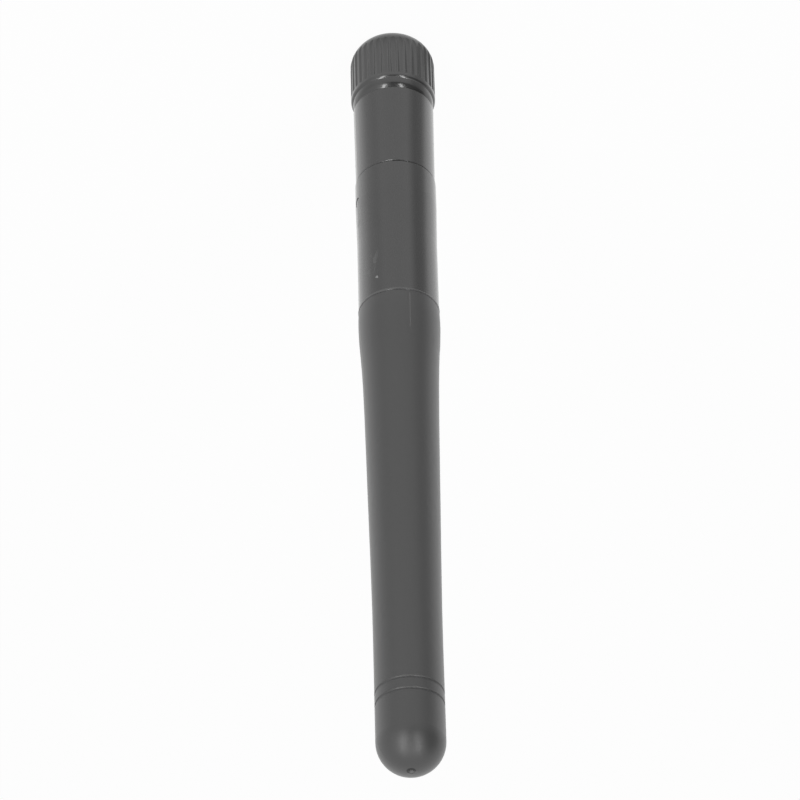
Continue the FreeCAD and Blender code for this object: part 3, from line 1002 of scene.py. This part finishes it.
@dataclass
class Studio:
    """Pale floor, plain soft lights and the camera at the photograph's angle."""

    picture_side: int = 800
    focal_pixels: float = 4737.0
    sensor: float = 36.0
    clip: Span = (0.01, 20.0)
    camera_place: Place = (130.6 * MM, -427.1 * MM, 410.8 * MM)
    aim_height: float = 56.1 * MM
    aim_offset: float = 1.4
    roll: float = 180.0 - 1.57
    world_light: float = 0.42
    floor_size: float = 6.0
    floor_tone: float = 0.8
    floor_glow: float = 0.96
    box_width: float = 0.09
    box_foot: Place = (0.215, 0.584, 0.1)
    box_head: Place = (0.28, 0.25, 0.72)
    box_radiance: float = 8.0
    strip_turn: float = 65.0
    strip_half_width: float = 34.0
    strip_tone: float = 0.45
    left_strip_tone: float = 0.8
    foot_shade: float = 0.4
    foot_reach: Span = (5.8 * MM, 8.0 * MM)
    far_reach: Span = (0.32, 0.6)
    room_turn: float = 40.0
    room_half_width: float = 68.0
    room_tone: float = 0.12
    dark_edge: float = 26.0
    ceiling_rise: Span = (34.0, 54.0)
    ceiling_tone: float = 1.0

    @property
    def camera_turn(self) -> float:
        """The camera's direction in plan, in radians from -Y towards +X."""
        return math.atan2(self.camera_place[0], -self.camera_place[1])

    def build(self) -> None:
        """Sets up the colour view, camera, floor, world and lights."""
        bpy.context.scene.view_settings.view_transform = "Standard"
        self.camera()
        self.floor()
        self.world()
        for side in (-1.0, 1.0):
            self.softbox(side)

    def camera(self) -> None:
        """Places the camera, turned so that the tip is at the bottom of the picture."""
        data = bpy.data.cameras.new("camera")
        data.sensor_width = self.sensor
        data.lens = self.focal_pixels * self.sensor / self.picture_side
        data.clip_start, data.clip_end = self.clip
        camera = bpy.data.objects.new("camera", data)
        place = Vector(self.camera_place)
        sight = Vector((0.0, 0.0, self.aim_height)) - place
        level = sight.cross(Vector((0.0, 0.0, 1.0))).normalized()
        pixel = sight.length / self.focal_pixels
        sight += level * (self.aim_offset * pixel)
        camera.location = place
        camera.rotation_mode = "QUATERNION"
        upright = sight.to_track_quat("-Z", "Y")
        camera.rotation_quaternion = upright @ Quaternion((0.0, 0.0, 1.0), math.radians(self.roll))
        bpy.context.scene.collection.objects.link(camera)
        bpy.context.scene.camera = camera

    def softbox(self, side: float) -> None:
        """Hangs one long soft light, which leans from low beside the camera to high over the antenna.

        Args:
            side: -1 or 1, for the two sides of the camera.
        """
        across = Vector((math.cos(self.camera_turn), math.sin(self.camera_turn), 0.0)) * side
        toward = Vector((math.sin(self.camera_turn), -math.cos(self.camera_turn), 0.0))
        foot, head = (across * aside + toward * ahead + Vector((0.0, 0.0, up))
                      for aside, ahead, up in (self.box_foot, self.box_head))
        data = bpy.data.lights.new("softbox", "AREA")
        data.shape = "RECTANGLE"
        data.size = self.box_width
        data.size_y = (head - foot).length
        data.energy = self.box_radiance * math.pi * data.size * data.size_y
        light = bpy.data.objects.new("softbox", data)
        length = (head - foot).normalized()
        middle = (head + foot) / 2.0
        facing = (middle - length * middle.dot(length)).normalized()
        light.location = middle + Vector((0.0, 0.0, cad_high.z / 2.0))
        light.rotation_mode = "QUATERNION"
        axes = Matrix((length.cross(facing), length, facing)).transposed()
        light.rotation_quaternion = axes.to_quaternion()
        bpy.context.scene.collection.objects.link(light)

    def world(self) -> None:
        """Lights evenly from all round. Gloss sees pale walls and ceiling, and a dark room by the camera."""
        world = bpy.data.worlds.new("studio")
        bpy.context.scene.world = world
        graph = Graph(world)
        way = graph.add("ShaderNodeTexCoord", output="Generated")
        rise = graph.add("ShaderNodeSeparateXYZ", {}, {0: way}, output="Z")
        ceiling = rise.step(*(math.sin(math.radians(angle)) for angle in self.ceiling_rise))
        room = (1.0 - self.room_tone) * self.sector(graph, way, self.room_turn, self.room_half_width)
        mirrored = (1.0 - room) * (1.0 - ceiling) + self.ceiling_tone * ceiling
        camera = self.ray(graph, "Is Camera Ray")
        gloss = self.ray(graph, "Is Glossy Ray").higher(self.ray(graph, "Is Transmission Ray"))
        strength = camera + (1.0 - camera) * (gloss * mirrored + (1.0 - gloss) * self.world_light)
        light = graph.add("ShaderNodeBackground", {}, {"Color": (1.0, 1.0, 1.0, 1.0), "Strength": strength})
        graph.add("ShaderNodeOutputWorld", {}, {"Surface": light})

    def ray(self, graph: Graph, kind: str) -> Signal:
        """1 for rays of one kind, by the name of Light Path's output, and 0 for the rest."""
        return graph.add("ShaderNodeLightPath", output=kind)

    def sector(self, graph: Graph, spot: Signal, turn: float, half_width: float) -> Signal:
        """Share of a sector of directions round the antenna.

        Args:
            graph: The node tree of the floor or of the world.
            spot: The place on the floor, or the direction in the world.
            turn: The sector's middle, in degrees from the camera's direction to its right.
            half_width: The angle from its middle to where it ends.

        Returns:
            1 in the sector, falling softly to 0 at its sides.
        """
        toward = (math.sin(self.camera_turn), -math.cos(self.camera_turn), 0.0)
        across = (-math.cos(self.camera_turn), -math.sin(self.camera_turn), 0.0)
        aside, ahead = (graph.add("ShaderNodeVectorMath", {"operation": "DOT_PRODUCT"}, {0: spot, 1: way},
                                  output="Value") for way in (across, toward))
        angle = graph.add("ShaderNodeMath", {"operation": "ARCTAN2"}, {0: aside, 1: ahead})
        inner = math.radians(half_width - self.dark_edge)
        return abs(angle - math.radians(turn)).step(math.radians(half_width), inner)

    def floor(self) -> None:
        """Lays a pale floor that looks white and keeps a soft shadow.

        In the antenna's gloss alone it holds painted reflections: a grey strip on each side that stands in
        for a dark flag, a painted shadow close to the foot and a painted dark room far off.
        """
        shape = bmesh.new()
        bmesh.ops.create_grid(shape, x_segments=1, y_segments=1, size=self.floor_size / 2.0)
        material, graph = new_material("floor")
        spot = graph.add("ShaderNodeTexCoord", output="Object")
        glossy = self.ray(graph, "Is Glossy Ray")
        right = self.sector(graph, spot, self.strip_turn, self.strip_half_width)
        left = self.sector(graph, spot, -self.strip_turn, self.strip_half_width)
        strip = (1.0 - self.strip_tone) * right + (1.0 - self.left_strip_tone) * left
        reach = graph.add("ShaderNodeVectorMath", {"operation": "LENGTH"}, {0: spot}, output="Value")
        foot = self.foot_shade * reach.step(self.foot_reach[1], self.foot_reach[0])
        far = reach.step(*self.far_reach)
        room = (1.0 - self.room_tone) * self.sector(graph, spot, self.room_turn, self.room_half_width)
        # Painted reflections for glossy rays only: grey flag strips, a painted shadow round the foot and a
        # painted dark room far off.
        shade = (strip * (1.0 - far) + room * far).higher(foot)
        glow = graph.add("ShaderNodeEmission", {}, {"Strength": 1.0 - shade * glossy})
        pale = graph.add("ShaderNodeBsdfDiffuse", {}, {"Color": (self.floor_tone,) * 3 + (1.0,)})
        through = self.ray(graph, "Is Transmission Ray")
        seen = self.ray(graph, "Is Camera Ray").higher(glossy).higher(through)
        shader = graph.add("ShaderNodeMixShader", {}, {0: seen * self.floor_glow, 1: pale, 2: glow})
        graph.add("ShaderNodeOutputMaterial", {}, {"Surface": shader})
        new_piece("floor", shape, [material])


def main() -> None:
    """Builds the studio and every sub-assembly, and reports each piece."""
    Studio().build()
    finishes = {slot: finish.material() for slot, finish in inner_finishes().items()}
    pieces = Coupling().build(finishes) + Connector().build(finishes) + HingeBarrels().build(finishes)
    pieces += Lead().build(finishes) + Sleeve().build() + Dipole().build(finishes)
    for piece in pieces:
        log.info("%s: %d faces", piece.name, len(piece.data.polygons))


if __name__ == "__main__":
    logging.basicConfig(level=logging.INFO, format="%(message)s")
    main()
